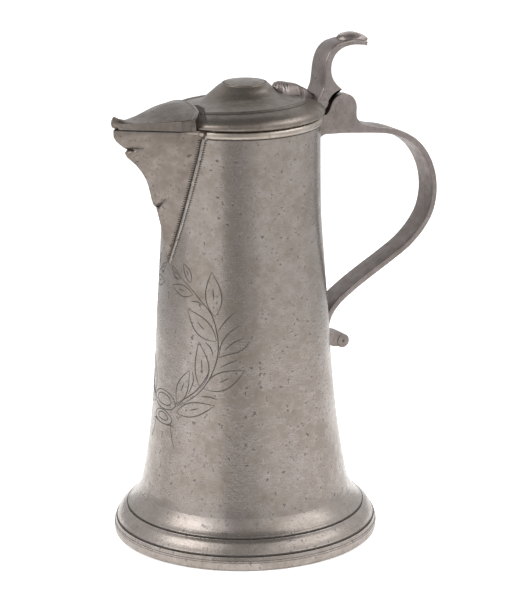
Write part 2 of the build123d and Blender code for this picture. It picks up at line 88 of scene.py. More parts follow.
# Lid. LID_OUT is its turned outside, as radius and height
LID = RIM + 0.4
LID_R = 44.4
LID_OUT = [
    (12.0, 245.3), (14.0, 243.9), (16.4, 242.0), (19.1, 240.5), (22.5, 239.5), (25.5, 238.7),
    (28.6, 238.0), (31.6, 237.5), (33.0, 237.4), (33.6, 237.7), (34.3, 237.7), (34.9, 237.2),
    (35.6, 236.7), (37.4, 236.1), (39.6, 235.4), (41.6, 234.5), (43.2, 233.4), (44.2, 232.1),
    (44.6, 230.8), (44.4, 229.6), (43.6, 228.8),
]
# The old casting's crown sits a little to one side, and its far side has sunk: how far, in which
# direction in radians from the handle, and over what height above the rim that sets in
CROWN_SIDE = (2.2, -1.2)
SUNK_DEPTH = 4.6
SUNK_WAY = 1.7
SUNK_RISE = 5

# Hinge and handle
PIN = (58.5, 226.2)
EAR_R = 8.2
SADDLE_R = 10.2
HINGE_HALF = 8.0
EAR_IN = 3.4
TONGUE_HALF = 3.2
STRAP_HALF = 7.2
STRAP_T = 3.2
ROLL_AT = (58.4, 97.3)
ROLL_R = 3.8
ROLL_HALF = 7.0
EYE_R = 0.8

# Spout cover: its tip, and its rows without those that drop onto the dome
COVER_TIP = 74.9
COVER_ROWS = 80

# Thumb shell, bent round a centre under the lever's tip from one angle to another
FLUTES = 6
SHELL_AT = (67.0, 246.4)
SHELL_R = 16.0
SHELL_TURN = (119, 60)

# Camera's side of the flagon, in degrees round its axis
CAMERA_SIDE = -119.0


def srgb(code):
    """A colour written as sRGB hex, as linear red, green, blue and alpha."""
    parts = np.array([int(code[i : i + 2], 16) for i in (1, 3, 5)]) / 255
    linear = np.where(parts <= 0.04045, parts / 12.92, ((parts + 0.055) / 1.055) ** 2.4)
    return (*linear, 1.0)


def flow(points, count):
    """A smooth line through points: a cubic between each two, its slope at a point the chord
    between that point's neighbours, sampled evenly by length."""
    points = np.asarray(points, float)
    length = np.concatenate([[0], np.cumsum(np.linalg.norm(np.diff(points, axis=0), axis=1))])
    slope = np.gradient(points, length, axis=0)
    at = np.linspace(0, length[-1], count)
    cell = np.clip(np.searchsorted(length, at, side="right") - 1, 0, len(length) - 2)
    span = (length[cell + 1] - length[cell])[:, None]
    t = (at - length[cell])[:, None] / span
    start, end = points[cell], points[cell + 1]
    return (
        (2 * t**3 - 3 * t**2 + 1) * start
        + (t**3 - 2 * t**2 + t) * span * slope[cell]
        + (3 * t**2 - 2 * t**3) * end
        + (t**3 - t**2) * span * slope[cell + 1]
    )


def arc(centre, radius, start, stop, count):
    """Points round a centre in the handle's plane, from one angle to another in degrees."""
    angle = np.radians(np.linspace(start, stop, count))
    return np.stack([centre[0] + radius * np.cos(angle), centre[1] + radius * np.sin(angle)], axis=1)


def ease(low, high, value):
    """0 below low, 1 above high, and a smooth rise between them."""
    t = np.clip((value - low) / (high - low), 0, 1)
    return t * t * (3 - 2 * t)


def placed(name, data):
    """A new object in the scene."""
    thing = bpy.data.objects.new(name, data)
    bpy.context.scene.collection.objects.link(thing)
    return thing


def piece(name, points, faces, body, replaced=(), slot="pewter", sharp=35):
    """A finished mesh piece from points in millimetres: doubles merged, faces turned outward,
    shaded smooth but for edges sharper than an angle, and riding on its body."""
    mesh = bpy.data.meshes.new(name)
    mesh.from_pydata((np.asarray(points, float) * MM).tolist(), [], [list(f) for f in faces])
    work = bmesh.new()
    work.from_mesh(mesh)
    bmesh.ops.remove_doubles(work, verts=work.verts, dist=2e-6)
    bmesh.ops.dissolve_degenerate(work, edges=work.edges, dist=1e-6)
    bmesh.ops.recalc_face_normals(work, faces=work.faces)
    work.to_mesh(mesh)
    work.free()
    mesh.shade_smooth()
    mesh.set_sharp_from_angle(angle=math.radians(sharp))
    thing = placed(name, mesh)
    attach(thing, body)
    if replaced:
        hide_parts(*replaced)
    return thing


def quads(rows, columns, ring=False):
    """Faces of a grid of points laid row by row; a ring also joins its last column to its first."""
    index = np.arange(rows * columns).reshape(rows, columns)
    if ring:
        index = np.concatenate([index, index[:, :1]], axis=1)
    return np.stack([index[:-1, :-1], index[:-1, 1:], index[1:, 1:], index[1:, :-1]], -1).reshape(-1, 4)


def sunk(x, y, height):
    """How much lower the old lid lies than its turned outline, from a place in plan and a height:
    most outside the button on the far side, nothing on the near side or at the edge."""
    radius, angle = np.hypot(x, y), np.arctan2(y, x)
    depth = SUNK_DEPTH * ease(13, 24, radius) * (0.5 + 0.5 * np.cos(angle - SUNK_WAY))
    return depth * np.clip((height - LID) / SUNK_RISE, 0, 1)


def off_centre(points):
    """Moves the lid's crown to its side, more and more between the ridge and the button, and
    lowers the side that has sunk."""
    share = ease(237.8, 245.5, points[..., 2:])
    lower = sunk(*np.moveaxis(points, -1, 0))[..., None]
    return points + share * np.array([*CROWN_SIDE, 0.0]) - lower * np.array([0.0, 0.0, 1.0])


def turned(name, outline, body, replaced, steps, crown=False, **finish):
    """A turned piece: an outline of radius and height, from the axis round to the axis or closed
    on itself, swung once round the body's axis in a number of steps."""
    outline = np.asarray(outline, float)
    angle = np.linspace(0, 2 * np.pi, steps, endpoint=False)
    radius, height = outline[:, :1], outline[:, 1:]
    points = np.stack([radius * np.cos(angle), radius * np.sin(angle), height + 0 * angle], axis=-1)
    points = off_centre(points) if crown else points
    faces = quads(len(outline), steps, True)
    return piece(name, points.reshape(-1, 3), faces, body, replaced, **finish)


def closed(outline):
    """An outline with its first point again at its end."""
    outline = np.asarray(outline, float)
    return np.concatenate([outline, outline[:1]])


def thick_sheet(name, outer, inner, body, replaced=(), **finish):
    """A closed wall between two grids of the same layout: both skins and the four borders."""
    rows, columns = outer.shape[:2]
    half = rows * columns
    skin = quads(rows, columns)
    index = np.arange(half).reshape(rows, columns)
    borders = []
    for edge in (index[0], index[-1], index[:, 0], index[:, -1]):
        borders.append(np.stack([edge[:-1], edge[1:], edge[1:] + half, edge[:-1] + half], axis=-1))
    points = np.concatenate([outer.reshape(-1, 3), inner.reshape(-1, 3)])
    faces = np.concatenate([skin, skin[:, ::-1] + half, *borders])
    return piece(name, points, faces, body, replaced, **finish)


def inward(outline):
    """Unit vectors that point into a closed outline given counterclockwise."""
    run = np.roll(outline, -1, axis=0) - np.roll(outline, 1, axis=0)
    side = np.stack([-run[:, 1], run[:, 0]], axis=1)
    return side / np.maximum(np.linalg.norm(side, axis=1, keepdims=True), 1e-9)


def slab_mesh(outline, low, high, edge, steps=4):
    """Points and faces of a plate with rounded edges: a closed outline of x and z, carried from
    y = low to y = high, drawn in by a quarter circle at both faces. low and high may differ
    from point to point."""
    outline = np.asarray(outline, float)
    x, z = outline.T
    area = np.sum(x * np.roll(z, -1) - np.roll(x, -1) * z)
    if area < 0:
        low, high = (np.broadcast_to(level, len(outline))[::-1] for level in (low, high))
        outline = outline[::-1]
    toward = inward(outline)
    turn = np.radians(np.linspace(0, 90, steps))
    rings = []
    for sign, level, turns in ((1, low, turn), (-1, high, turn[::-1])):
        for angle in turns:
            place = outline + toward * edge * (1 - np.sin(angle))
            depth = level + sign * edge * (1 - np.cos(angle)) + 0 * outline[:, 0]
            rings.append(np.stack([place[:, 0], depth, place[:, 1]], axis=1))
    count = len(outline)
    faces = quads(len(rings), count, True).tolist()
    faces.append(list(range(count)))
    faces.append(list(range(len(rings) * count - count, len(rings) * count)))
    return np.concatenate(rings), faces


def joined(name, meshes, body, replaced=(), **finish):
    """One piece from several closed meshes of points and faces."""
    points, faces, first = [], [], 0
    for some_points, some_faces in meshes:
        points.append(some_points)
        faces += [[corner + first for corner in face] for face in some_faces]
        first += len(some_points)
    return piece(name, np.concatenate(points), faces, body, replaced, **finish)


def ribbon(path, thickness):
    """The outline of a strap: a line of x and z moved half its thickness to each side."""
    run = np.gradient(path, axis=0)
    side = np.stack([-run[:, 1], run[:, 0]], axis=1)
    side /= np.linalg.norm(side, axis=1, keepdims=True)
    half = np.broadcast_to(np.asarray(thickness, float) / 2, len(path))[:, None]
    return np.concatenate([path + side * half, (path - side * half)[::-1]])


# The drum's outside, and places on it


def drum_radius(z):
    """The drum's outer radius at a height, read off a smooth line through its turning sizes."""
    line = flow(DRUM, 400)
    return np.interp(z, line[:, 1], line[:, 0])


def on_drum(angle, z, lift=0.0):
    """A place on the drum: degrees from the spout toward the near side, and height."""
    radius = drum_radius(z) + lift
    angle = np.radians(angle)
    return np.stack([-radius * np.cos(angle), -radius * np.sin(angle), z + 0 * radius], axis=-1)


def root_half(z):
    """Half the spout's width where it meets the drum, bowed a little outward."""
    share = np.clip((z - SPOUT_FOOT) / SPOUT_H, 0, 1)
    return ROOT_HALF * (share + 0.39 * share * (1 - share))


def lid_height(x, y):
    """Height of the lid's top at a place in plan: its turned outline, less how far it has sunk."""
    line = flow(LID_OUT, 400)[::-1]
    order = np.argsort(line[:, 0])
    height = np.interp(np.hypot(x, y), line[order, 0], line[order, 1])
    return height - sunk(x, y, height)


def add_node(tree, kind, settings=None, inputs=None):
    """A node of a kind, with its settings, and with values or links on its inputs by name or number."""
    node = tree.nodes.new(kind)
    for key, value in (settings or {}).items():
        setattr(node, key, value)
    for key, value in (inputs or {}).items():
        socket = node.inputs[key]
        if isinstance(value, bpy.types.NodeSocket):
            tree.links.new(value, socket)
        else:
            socket.default_value = value
    return node


def emptied_tree(block):
    """The node tree of a material or a world, with nothing in it."""
    block.use_nodes = True
    block.node_tree.nodes.clear()
    return block.node_tree


def noise(tree, place, size, detail, rough=0.5):
    """Noise at a place, with grains of a size in metres."""
    return add_node(tree, "ShaderNodeTexNoise", None, {
        "Vector": place, "Scale": 1 / size, "Detail": detail, "Roughness": rough,
    }).outputs["Fac"]


def colour_steps(node, steps):
    """Sets a colour ramp's stops from pairs of place and sRGB hex."""
    ramp = node.color_ramp
    while len(ramp.elements) < len(steps):
        ramp.elements.new(0.5)
    for element, (place, code) in zip(ramp.elements, steps):
        element.position = place
        element.color = srgb(code)


def cast_pewter(name, light, middle, dark, rough, pits=1.0, turned_marks=0.0):
    """Old cast pewter, skimmed and rubbed bright, then dulled by age: a warm grey satin metal with
    cloudy oxide stains, fine scratches and small dark casting pits."""
    material = bpy.data.materials.new(name)
    tree = emptied_tree(material)
    place = add_node(tree, "ShaderNodeTexCoord").outputs["Object"]
    # Oxide clouds 30 mm across, broken up by finer ones of 6 mm
    cloud = noise(tree, place, 0.030, 6.0, 0.62)
    stain = noise(tree, place, 0.006, 5.0, 0.7)
    mixed = add_node(tree, "ShaderNodeMix", {"data_type": "FLOAT"}, {0: 0.55, 2: cloud, 3: stain})
    tone = add_node(tree, "ShaderNodeValToRGB", None, {"Fac": mixed.outputs[0]})
    colour_steps(tone, [(0.30, dark), (0.50, middle), (0.68, light)])
    # Casting pits: ragged specks under 1 mm, kept to patches
    cells = noise(tree, place, 0.0019, 2.0)
    speck = add_node(tree, "ShaderNodeMapRange", None,
                     {"Value": cells, "From Min": 0.60, "From Max": 0.68})
    patch = add_node(tree, "ShaderNodeMapRange", None,
                     {"Value": stain, "From Min": 0.46, "From Max": 0.54})
    pit = add_node(tree, "ShaderNodeMath", {"operation": "MULTIPLY"},
                   {0: speck.outputs["Result"], 1: patch.outputs["Result"]})
    pit_share = add_node(tree, "ShaderNodeMath", {"operation": "MULTIPLY"},
                         {0: pit.outputs[0], 1: 0.75 * pits})
    surface = add_node(tree, "ShaderNodeMix", {"data_type": "RGBA"},
                       {0: pit_share.outputs[0], 6: tone.outputs["Color"], 7: srgb("#4a433c")})
    # Rubbing scratches: streaks 0.4 mm wide and 20 mm long, drawn a little coarser than real
    streaks = add_node(tree, "ShaderNodeMapping", None,
                       {"Vector": place, "Rotation": (0.5, 0.35, 0.0),
                        "Scale": (1 / 0.020, 1 / 0.020, 1 / 0.0004)})
    scratch = noise(tree, streaks.outputs["Vector"], 1.0, 2.0)
    grain = noise(tree, place, 0.0009, 3.0, 0.6)
    dull = add_node(tree, "ShaderNodeMapRange", None,
                    {"Value": mixed.outputs[0], "From Min": 0.35, "From Max": 0.65,
                     "To Min": rough[1], "To Max": rough[0]})
    wear = add_node(tree, "ShaderNodeMath", {"operation": "MULTIPLY_ADD"},
                    {0: scratch, 1: 0.16, 2: dull.outputs["Result"]})
    final_rough = add_node(tree, "ShaderNodeMath", {"operation": "SUBTRACT", "use_clamp": True},
                           {0: wear.outputs[0], 1: 0.08})
    # Relief: what it follows, its height in metres, and whether it is sunk
    relief = [(stain, 0.00035, False), (grain, 0.00005, False), (scratch, 0.00004, False),
              (pit.outputs[0], 0.00015 * pits, True)]
    if turned_marks:
        # Marks of the lathe, 0.7 mm apart
        lathe = add_node(tree, "ShaderNodeMapping", None,
                         {"Vector": place, "Scale": (4.0, 4.0, 1 / 0.0007)})
        rings = noise(tree, lathe.outputs["Vector"], 1.0, 1.0)
        relief.append((rings, 0.00006 * turned_marks, False))
    normal = None
    for height, distance, inverted in relief:
        inputs = {"Height": height, "Distance": distance, "Strength": 0.5}
        if normal is not None:
            inputs["Normal"] = normal
        normal = add_node(tree, "ShaderNodeBump", {"invert": inverted}, inputs).outputs["Normal"]
    shader = add_node(tree, "ShaderNodeBsdfPrincipled", None,
                      {"Base Color": surface.outputs[2], "Roughness": final_rough.outputs[0],
                       "Metallic": 1.0, "Normal": normal})
    add_node(tree, "ShaderNodeOutputMaterial", None, {"Surface": shader.outputs["BSDF"]})
    return material


def grime_and_shade(name, code):
    """Dark, dull and not metallic: old polish and oxide packed into engraved lines, and painted shade
    in corners, grooves, creases and gaps.
    """
    material = bpy.data.materials.new(name)
    tree = emptied_tree(material)
    place = add_node(tree, "ShaderNodeTexCoord").outputs["Object"]
    crumbs = noise(tree, place, 0.0015, 3.0)
    tone = add_node(tree, "ShaderNodeValToRGB", None, {"Fac": crumbs})
    colour_steps(tone, [(0.3, "#2b2622"), (0.7, code)])
    shader = add_node(tree, "ShaderNodeBsdfPrincipled", None,
                      {"Base Color": tone.outputs["Color"], "Roughness": 0.75, "Metallic": 0.0})
    add_node(tree, "ShaderNodeOutputMaterial", None, {"Surface": shader.outputs["BSDF"]})
    return material


def finish(things, material):
    """Gives one material to some pieces."""
    for thing in things:
        thing.data.materials.clear()
        thing.data.materials.append(material)


# Foot: a turned casting with a rounded lip, a convex step and a flare, hollow underneath

foot_line = np.concatenate([
    flow([(69.6, 0.0), (70.6, 0.7), (71.0, 2.6), (70.8, 5.2), (70.2, 7.2)], 14),
    flow([(70.1, 7.6), (69.5, 7.8), (69.2, 8.2), (69.5, 8.6)], 8),
    flow([(69.3, 8.9), (68.7, 10.3), (67.4, 12.3), (65.9, 14.0), (64.5, 15.0)], 14),
    flow([(64.3, 15.2), (63.7, 15.3), (63.4, 15.7), (63.6, 16.1)], 8),
    flow([(63.4, 16.3), (61.9, 17.5), (60.1, 19.4), (58.3, 21.8), (57.0, 24.0)], 14),
    flow([(55.0, 24.0), (56.4, 21.0), (58.6, 17.6), (61.6, 14.0), (RECESS_R, 8.6)], 10),
    [(RECESS_R, 0.3), (RECESS_R + 0.3, 0.0)],
])
foot = turned("turned_foot", closed(foot_line), "jug", ["foot"], steps=320)

# Drum: two skins of a tapering wall, left open in a V behind the spout

rows = np.linspace(FOOT_TOP, RIM, 110)
opening = np.arcsin(np.clip((root_half(rows) - WALL) / (drum_radius(rows) - WALL), 2e-4, 1))
across = np.linspace(0, 1, 257)
swing = np.pi + opening[:, None] + across * (2 * np.pi - 2 * opening[:, None])


def drum_skin(depth):
    """The drum's wall at a depth under its outside, from one side of the V round to the other."""
    radius = (drum_radius(rows) - depth)[:, None]
    return np.stack([radius * np.cos(swing), radius * np.sin(swing), rows[:, None] + 0 * swing], -1)


drum = thick_sheet("drum_wall", drum_skin(0), drum_skin(WALL), "jug", ["drum"])

# Rim band: a half-round moulding that stops at the spout

band_end = np.degrees(np.arcsin((ROOT_HALF + BAND_GAP) / NECK_R))
band_turn = np.radians(np.linspace(180 + band_end, 540 - band_end, 300))
band_round = np.radians(np.linspace(-90, 90, 13))
band_r = (NECK_R - 0.2 + BAND_DEPTH * np.cos(band_round))[:, None]
band_z = (RIM - BAND_HALF + BAND_HALF * np.sin(band_round))[:, None]
band_outer = np.stack([
    band_r * np.cos(band_turn), band_r * np.sin(band_turn), band_z + 0 * band_turn,
], -1)
band_inner = band_outer.copy()
band_inner[..., 0] = (NECK_R - 0.4) * np.cos(band_turn)
band_inner[..., 1] = (NECK_R - 0.4) * np.sin(band_turn)
band = thick_sheet("rim_moulding", band_outer, band_inner, "jug", ["rim_band"])

# Spout: a thin beak with a keel in three tiers, and creases that run in from the keel


def rounded_across(grid, reach):
    """Rounds a grid's ridges by averaging each point with its neighbours in its row."""
    kernel = np.hanning(2 * reach + 3)[1:-1]
    kernel /= kernel.sum()
    padded = np.concatenate([grid[:, reach:0:-1], grid, grid[:, -2 : -reach - 2 : -1]], axis=1)
    padded[:, :reach] = 2 * grid[:, :1] - padded[:, :reach]
    padded[:, -reach:] = 2 * grid[:, -1:] - padded[:, -reach:]
    return sum(kernel[i] * padded[:, i : i + grid.shape[1]] for i in range(len(kernel)))


def beak_skin(inset):
    """Level sections of the beak from its foot to the rim. Across a section, 0 is the keel and
    1 the root on the drum, straight from keel to cheek and from cheek to root."""
    height = np.linspace(SPOUT_FOOT + BEAK_LIFT, RIM, BEAK_ROWS)[:, None]
    side = np.linspace(-1, 1, BEAK_COLUMNS)
    reach = np.abs(side)
    keel_z, keel_x = np.array(KEEL).T
    belly = np.interp(height, *flow(BELLY, 200).T)
    bump = (np.interp(height, keel_z, keel_x) - belly) * np.clip(1 - reach / 0.4, 0, 1) ** 2
    keel = np.minimum(belly + bump + 1.3 * ease(198, 216, height), KEEL_MAX) - 1.5 * inset
    root_y = np.maximum(root_half(height) - inset, 0.3)
    root_x = np.sqrt(drum_radius(height) ** 2 - root_y**2) - 0.3
    keel = np.maximum(keel, root_x + 0.1)
    cheek_x = root_x + 0.31 * (keel - root_x)
    cheek_y = 0.93 * root_y
    front = np.clip(reach / CHEEK_AT, 0, 1)
    back = np.clip((reach - CHEEK_AT) / (1 - CHEEK_AT), 0, 1)
    x = keel + (cheek_x - keel) * front + (root_x - cheek_x) * back
    y = cheek_y * front + (root_y - cheek_y) * back
    grid = rounded_across(np.stack([-x, y * np.sign(side), height + 0 * x], -1), 4)
    for start, rise, width, depth, stop in CREASES:
        line = start + rise * (reach / stop)
        fade = np.clip(1 - reach / stop, 0, 1) ** 0.6
        dent = depth * fade * np.exp(-(((height - line) / width) ** 2))
        grid[..., 0] += dent
        grid[..., 1] -= 0.6 * dent * np.sign(side)
    return grid


beak_outer = beak_skin(0)
beak = thick_sheet("beak_spout", beak_outer, beak_skin(WALL), "jug", ["spout"])


def beak_row(z):
    """The row of the spout's grid at a height, not rounded."""
    return (z - SPOUT_FOOT - BEAK_LIFT) / (SPOUT_H - BEAK_LIFT) * (BEAK_ROWS - 1)


def beak_up(mirror, count):
    """The way out of the spout's side, once for each point of a thread."""
    return np.repeat([[-0.6, -0.8 * mirror, 0.0]], count, axis=0)


# Strokes: engraved lines, beads and marks, all as thin closed threads laid on a surface


def thread(path, up, half_width, half_height):
    """A closed thread along a path: six-sided sections, as wide and high as given at each point,
    with a face over both ends."""
    path = np.asarray(path, float)
    run = np.gradient(path, axis=0)
    run /= np.maximum(np.linalg.norm(run, axis=1, keepdims=True), 1e-9)
    side = np.cross(run, up)
    side /= np.maximum(np.linalg.norm(side, axis=1, keepdims=True), 1e-9)
    angle = np.radians(np.arange(0, 360, 60))
    wide = np.broadcast_to(half_width, len(path))[:, None, None] * np.cos(angle)[None, :, None]
    high = np.broadcast_to(half_height, len(path))[:, None, None] * np.sin(angle)[None, :, None]
    rings = path[:, None] + side[:, None] * wide + up[:, None] * high
    faces = quads(len(path), 6, True).tolist()
    last = 6 * (len(path) - 1)
    faces += [list(range(6)), list(range(last, last + 6))]
    return rings.reshape(-1, 3), faces


def drum_thread(angle, z, half_width, half_height=0.09, lift=0.0):
    """A thread on the drum through places given by angle from the spout and height."""
    path = on_drum(angle, z, lift)
    up = path * [1, 1, 0]
    up /= np.linalg.norm(up, axis=1, keepdims=True)
    return thread(path, up, half_width, half_height)


def pointed(count):
    """Widths that swell from a point to full and back, as a graver's cut does: the root of half a
    sine."""
    return np.sin(np.pi * np.linspace(0.04, 0.96, count)) ** 0.5


def on_beak(height, way, mirror):
    """Places on the spout's outer skin, by height and by the way along the skin from the root."""
    places = []
    for z, reach in np.broadcast(height, way):
        row = beak_outer[int(round(beak_row(z)))][::mirror]
        walked = np.concatenate([[0], np.cumsum(np.linalg.norm(np.diff(row, axis=0), axis=1))])
        places.append([np.interp(reach, walked, row[:, axis]) for axis in (0, 1)] + [z])
    return np.array(places)


def beak_thread(height, way, mirror, half_width, half_height=0.12):
    """A thread on the spout's skin."""
    path = on_beak(height, way, mirror)
    return thread(path, beak_up(mirror, len(path)), half_width, half_height)


# Painted shade in the creases of the spout: dark threads following its outer skin

crease_lines = []
for start, rise, width, depth, stop in CREASES:
    for mirror in (1, -1):
        t = np.linspace(0.02, 0.95, 5)
        row = beak_row(start + rise * t)
        column = BEAK_COLUMNS // 2 * (1 - mirror * t * stop)
        spot = beak_outer[np.round(row).astype(int), np.round(column).astype(int)]
        half_width = 0.42 * width * pointed(24)
        crease_lines.append(thread(flow(spot, 24), beak_up(mirror, 24), half_width, 0.2))
creases = joined("crease_shade_threads", crease_lines, "jug")

# Seam: a raised bead between two rows of stamped teeth, on both sides of the spout

seam_bead, seam_teeth = [], []
seam_z = np.linspace(SPOUT_FOOT - 1.0, RIM - 4.4, 90)
seam_root = np.degrees(np.arcsin(root_half(seam_z) / drum_radius(seam_z)))
for mirror in (1, -1):
    seam_bead.append(drum_thread(mirror * (seam_root + 1.7), seam_z, 0.75, 0.75))
    seam_teeth.append(beak_thread(seam_z[2:] + 0.4, 0.5, mirror, 0.40))
    for tooth in np.arange(SPOUT_FOOT + 3, RIM - 5, 1.25):
        root = np.interp(tooth, seam_z, seam_root)
        t = np.linspace(0, 1, 5)
        turn = mirror * (root + 2.8 + 1.9 * t)
        seam_teeth.append(drum_thread(turn, tooth + 0.5 * t, 0.50 * (1 - 0.8 * t), 0.12, 0.03))
        seam_teeth.append(beak_thread(tooth + 0.6 * t, 0.3 + 2.0 * t, mirror, 0.46 * (1 - 0.6 * t)))
        seam_teeth.append(beak_thread(tooth + 0.8 - 0.5 * t, 0.6 + 1.3 * t, mirror, 0.2))
bead = joined("seam_bead", seam_bead, "jug", ["spout_seam"])
teeth = joined("seam_teeth", seam_teeth, "jug")

# Tails of the rim band, which run out on the spout's sides

rim_ends = []
for mirror in (1, -1):
    t = np.linspace(0, 1, 40)
    half_width = 1.75 * (1 - t) ** 1.5 + 0.35
    start = [[-34.9, -26.5 * mirror, RIM - 2], [-35.0, -25.4 * mirror, RIM - 2]]
    path = flow(np.concatenate([start, on_beak([RIM - 2] * 3, [2.0, 6.0, 11.0], mirror)]), 40)
    # Its top stays level, just under the rim
    path[:, 2] = RIM - 0.15 - half_width
    rim_ends.append(thread(path, beak_up(mirror, 40), half_width, 1.2 * (1 - t) ** 1.5 + 0.12))
rim_tails = joined("rim_moulding_tails", rim_ends, "jug")

# Wreath: two sprays of leaves that meet under the spout, cut as single lines.
# Places are degrees from the spout toward the near side, and heights.

WREATH_R = 45.5


def leaf_lines(base, tip, width, lean):
    """A leaf: two bowed edges from base to tip, half a sine high, and a short midrib."""
    start = np.array([np.radians(base[0]) * WREATH_R, base[1]])
    end = np.array([np.radians(tip[0]) * WREATH_R, tip[1]])
    ahead = (end - start) / np.linalg.norm(end - start)
    side = np.array([-ahead[1], ahead[0]])
    t = np.linspace(0, 1, 22)[:, None]
    curve = start + (end - start) * t + side * lean * np.sin(np.pi * t)
    swell = np.sin(np.pi * t**0.85)
    return [curve + side * width / 2 * swell, curve - side * width / 2 * swell, curve[8:14]]


STEM = [
    (13, 78.3), (21.6, 82.4), (30.7, 88), (37.3, 94.5), (41.9, 102), (44.6, 109.4), (45.1, 116.6),
    (43.8, 123.7), (40, 132), (33, 137.8), (24.2, 143.9), (15.5, 148.2), (4, 152.2),
]
LEAVES = [
    ((14.5, 75.7), (42.9, 83.1), 7.4, 0.2), ((15.0, 79.8), (24.3, 100.1), 7.2, 0.6),
    ((35.4, 91.6), (62.4, 102.6), 9.2, -0.2), ((33.1, 91.8), (31.3, 116.2), 8.0, -1.2),
    ((43.8, 117.7), (21.8, 132.9), 9.0, 0.4), ((42.8, 130.7), (40.2, 154.2), 9.2, 0.0),
    ((25.8, 140.9), (5.6, 143.4), 5.8, 0.2), ((24.0, 147.0), (16.7, 156.4), 4.2, -0.4),
    ((14.0, 147.6), (4.0, 153.6), 3.4, 0.4),
]
STROKES = [
    [(45.1, 108.8), (51.3, 110.8), (59.1, 112.8), (63.5, 115.4), (66.0, 118.6)],
    [(49.6, 113.2), (54.6, 117.0), (61.3, 119.5)], [(46.3, 103.6), (51.3, 106.0), (57.9, 108.1)],
    [(45.1, 123.3), (50.2, 128.9), (55.7, 133.2)],
    [(45.7, 109.7), (47.4, 116.8), (52.4, 122.4), (59.6, 126.7)],
    [(36.2, 116.6), (39.5, 114.3), (41.7, 110.0)], [(26.7, 99.9), (27.6, 95.3), (24.1, 87.5)],
    [(24.8, 137.3), (30.2, 137.3), (33.9, 136.0)], [(33.3, 87.1), (40.0, 87.4), (44.5, 86.5)],
    [(12.0, 79.4), (20.4, 83.8), (28.8, 89.0), (35.2, 95.4), (39.4, 102.0)],
    [(6.7, 147.9), (9.2, 147.6), (12.0, 146.5)],
]
wreath = []


def engrave(line, half_width):
    """Cuts a line of millimetres round the drum and heights into the drum."""
    wreath.append(drum_thread(np.degrees(line[:, 0] / WREATH_R), line[:, 1], half_width))


for mirror in (1, -1):
    lines = []
    for points in [STEM, *STROKES]:
        line = np.array(points, float)
        line[:, 0] = np.radians(line[:, 0]) * WREATH_R
        lines.append(flow(line, 12 * len(points)))
    for base, tip, width, lean in LEAVES:
        lines += leaf_lines(base, tip, width, lean)
    for line in lines:
        engrave(line * [mirror, 1], 0.31 * pointed(len(line)))

# Bow under the wreath: two pairs of oval loops, one over the other, given by the height of their
# middle and half their width and height, and two tails. The ovals droop a little at their ends

LOOPS = [(80.0, 10.4, 5.0), (80.2, 7.0, 3.0), (70.6, 8.4, 3.7), (70.9, 5.0, 2.0)]
TAILS = [
    [(7.6, 68.4), (8.3, 64.5), (9.4, 60.5), (11.6, 56.0)], [(4.5, 66.8), (7.5, 67.6), (10.5, 67.2)],
]
for centre, half_wide, half_high in LOOPS:
    turn = np.linspace(0, 2 * np.pi, 60)
    pinch = 1 - 0.16 * np.cos(turn) ** 8
    droop = 0.06 * half_wide * np.cos(turn) ** 2
    oval = [half_wide * np.cos(turn), centre + half_high * np.sin(turn) * pinch - droop]
    engrave(np.stack(oval, -1), 0.28)
for tail in TAILS:
    for mirror in (1, -1):
        engrave(flow(tail, 26) * [mirror, 1], 0.31 * pointed(26))
engraving = joined("engraved_wreath", wreath, "jug")

# Grooves: thin dark rings of painted shade in the turned grooves of the foot and the lid and on the
# foot's lip, and a painted shadow line under the rim band


def ring_line(radius, z, half_width, steps=240):
    """A closed thread round the body's axis, which follows the lid's lean where it lies on it."""
    angle = np.linspace(0, 2 * np.pi, steps, endpoint=False)[:, None]
    section = np.radians(np.arange(0, 360, 60))
    r = radius + half_width * np.cos(section)
    height = z + half_width * np.sin(section) + 0 * angle
    points = np.stack([r * np.cos(angle), r * np.sin(angle), height], -1)
    index = np.arange(steps * 6).reshape(steps, 6)
    right = np.roll(index, -1, axis=1)
    faces = np.stack([index, right, np.roll(right, -1, axis=0), np.roll(index, -1, axis=0)], -1)
    return off_centre(points.reshape(-1, 3)), faces.reshape(-1, 4).tolist()


foot_groove_shade = joined("foot_groove_shade_lines", [
    ring_line(69.55, 8.2, 0.42), ring_line(63.65, 15.7, 0.42), ring_line(70.72, 5.7, 0.13),
    ring_line(70.86, 4.7, 0.13),
], "jug")
# Painted shadow: a dark line on the drum just under the rim band
rim_turn = np.linspace(band_end, 360 - band_end, 240)
band_shadow = joined("rim_band_shadow_line", [
    drum_thread(rim_turn, RIM - BAND_SHADOW_DROP + 0 * rim_turn, 0.28),
], "jug")

# Painted shade on the spout's rim, in the gap under the cover


def beak_rim(inset):
    """The beak's top outline in plan, from root to root, drawn in by a distance."""
    x, y, _ = beak_outer[-1].T
    return np.stack([x + inset * 1.4, y * (1 - inset / 25.0), 0 * x], -1)


gap_rings = []
for inset, lift in ((0.35, 0.02), (0.35, 0.38), (1.6, 0.38), (1.6, 0.02), (0.35, 0.02)):
    gap_rings.append(beak_rim(inset) + [0, 0, RIM + lift])
gap_faces = quads(5, BEAK_COLUMNS).tolist()
for end in (0, BEAK_COLUMNS - 1):
    gap_faces.append([end + ring * BEAK_COLUMNS for ring in range(4)])
gap_shade = piece("rim_gap_shade", np.concatenate(gap_rings), gap_faces, "jug")

# Lid: the dome and the button

